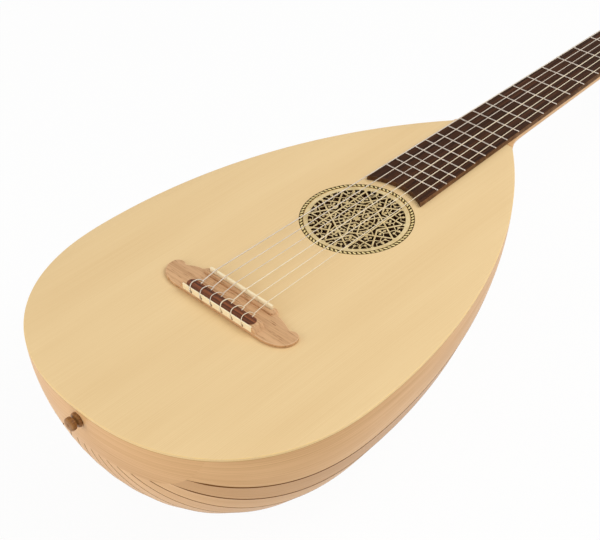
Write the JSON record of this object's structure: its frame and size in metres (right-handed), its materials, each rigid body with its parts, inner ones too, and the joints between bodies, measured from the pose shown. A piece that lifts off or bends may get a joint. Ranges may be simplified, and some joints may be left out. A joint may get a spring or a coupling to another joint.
{
  "type": "lute guitar",
  "caption": "Lute-shaped guitar with a ribbed maple bowl, pierced rose, fretted neck, nylon strings tied to a bridge, and a slotted head with worm gear tuners.",
  "frame": {"origin": "centre of the instrument's outline at the lowest point of the bowl", "axes": "+Y from the tail to the head along the strings, +Z out of the soundboard towards the player's view, +X to the treble side"},
  "size_m": [0.3248, 1.0042, 0.1725],
  "materials": {
    "spruce": "satin varnish over pale fine-grained spruce",
    "maple": "satin varnish over pinkish beige maple",
    "block_wood": "bare softwood inside the body",
    "rosewood": "oiled dark rosewood",
    "bridge_wood": "satin pinkish brown fruitwood",
    "rose_wood": "cut and tinted thin wood",
    "button_wood": "polished turned dark wood",
    "bone": "polished bone",
    "nickel": "satin nickel plate",
    "white_roller": "smooth off-white plastic rollers",
    "nylon": "clear nylon string",
    "silver_wound": "silvered wire wound over a fibre core"
  },
  "bodies": {
    "instrument": {"soundboard": "spruce", "rose": "rose_wood", "treble_side_rib": "maple", "rib_01": "maple", "rib_02": "maple", "rib_03": "maple", "rib_04": "maple", "rib_05": "maple", "rib_06": "maple", "rib_07": "maple", "rib_08": "maple", "rib_09": "maple", "rib_10": "maple", "rib_11": "maple", "rib_12": "maple", "rib_13": "maple", "rib_14": "maple", "rib_15": "maple", "bass_side_rib": "maple", "end_clasp": "maple", "tail_block": "block_wood", "neck_block": "block_wood", "cross_bar_1": "spruce", "cross_bar_2": "spruce", "cross_bar_3": "spruce", "cross_bar_4": "spruce", "neck": "maple", "fingerboard": "rosewood", "nut": "bone", "bridge": "bridge_wood", "saddle": "bone", "tie_block_inlay": "rosewood", "strap_button": "button_wood", "head": "maple", "treble_tuner_plate": "nickel", "bass_tuner_plate": "nickel", "string_1": "nylon", "string_2": "nylon", "string_3": "nylon", "string_4": "silver_wound", "string_5": "silver_wound", "string_6": "silver_wound"},
    "worm_1": {"worm_1": "nickel"},
    "worm_2": {"worm_2": "nickel"},
    "worm_3": {"worm_3": "nickel"},
    "worm_4": {"worm_4": "nickel"},
    "worm_5": {"worm_5": "nickel"},
    "worm_6": {"worm_6": "nickel"},
    "roller_1": {"roller_1": "white_roller", "winding_1": "nylon"},
    "roller_2": {"roller_2": "white_roller", "winding_2": "nylon"},
    "roller_3": {"roller_3": "white_roller", "winding_3": "nylon"},
    "roller_4": {"roller_4": "white_roller", "winding_4": "silver_wound"},
    "roller_5": {"roller_5": "white_roller", "winding_5": "silver_wound"},
    "roller_6": {"roller_6": "white_roller", "winding_6": "silver_wound"}
  },
  "joints": [
    {"name": "worm_1_turn", "type": "hinge", "parent": "instrument", "child": "worm_1", "pos_m": [0.0426, 0.38616, 0.13791], "axis": [0, 0.2588, 0.9659], "continuous": true},
    {"name": "worm_2_turn", "type": "hinge", "parent": "instrument", "child": "worm_2", "pos_m": [0.0426, 0.42384, 0.12782], "axis": [0, 0.2588, 0.9659], "continuous": true},
    {"name": "worm_3_turn", "type": "hinge", "parent": "instrument", "child": "worm_3", "pos_m": [0.0426, 0.46151, 0.11772], "axis": [0, 0.2588, 0.9659], "continuous": true},
    {"name": "worm_4_turn", "type": "hinge", "parent": "instrument", "child": "worm_4", "pos_m": [-0.0426, 0.46151, 0.11772], "axis": [0, 0.2588, 0.9659], "continuous": true},
    {"name": "worm_5_turn", "type": "hinge", "parent": "instrument", "child": "worm_5", "pos_m": [-0.0426, 0.42384, 0.12782], "axis": [0, 0.2588, 0.9659], "continuous": true},
    {"name": "worm_6_turn", "type": "hinge", "parent": "instrument", "child": "worm_6", "pos_m": [-0.0426, 0.38616, 0.13791], "axis": [0, 0.2588, 0.9659], "continuous": true},
    {"name": "roller_1_turn", "type": "hinge", "parent": "instrument", "child": "roller_1", "pos_m": [0.0175, 0.37795, 0.14011], "axis": [1, 0, 0], "continuous": true},
    {"name": "roller_2_turn", "type": "hinge", "parent": "instrument", "child": "roller_2", "pos_m": [0.0175, 0.41563, 0.13002], "axis": [1, 0, 0], "continuous": true},
    {"name": "roller_3_turn", "type": "hinge", "parent": "instrument", "child": "roller_3", "pos_m": [0.0175, 0.4533, 0.11992], "axis": [1, 0, 0], "continuous": true},
    {"name": "roller_4_turn", "type": "hinge", "parent": "instrument", "child": "roller_4", "pos_m": [-0.0175, 0.4533, 0.11992], "axis": [1, 0, 0], "continuous": true},
    {"name": "roller_5_turn", "type": "hinge", "parent": "instrument", "child": "roller_5", "pos_m": [-0.0175, 0.41563, 0.13002], "axis": [1, 0, 0], "continuous": true},
    {"name": "roller_6_turn", "type": "hinge", "parent": "instrument", "child": "roller_6", "pos_m": [-0.0175, 0.37795, 0.14011], "axis": [1, 0, 0], "continuous": true}
  ],
  "couplings": [
    {"joint": "roller_1_turn", "follows": "worm_1_turn", "ratio": -0.071429},
    {"joint": "roller_2_turn", "follows": "worm_2_turn", "ratio": -0.071429},
    {"joint": "roller_3_turn", "follows": "worm_3_turn", "ratio": -0.071429},
    {"joint": "roller_4_turn", "follows": "worm_4_turn", "ratio": -0.071429},
    {"joint": "roller_5_turn", "follows": "worm_5_turn", "ratio": -0.071429},
    {"joint": "roller_6_turn", "follows": "worm_6_turn", "ratio": -0.071429}
  ]
}
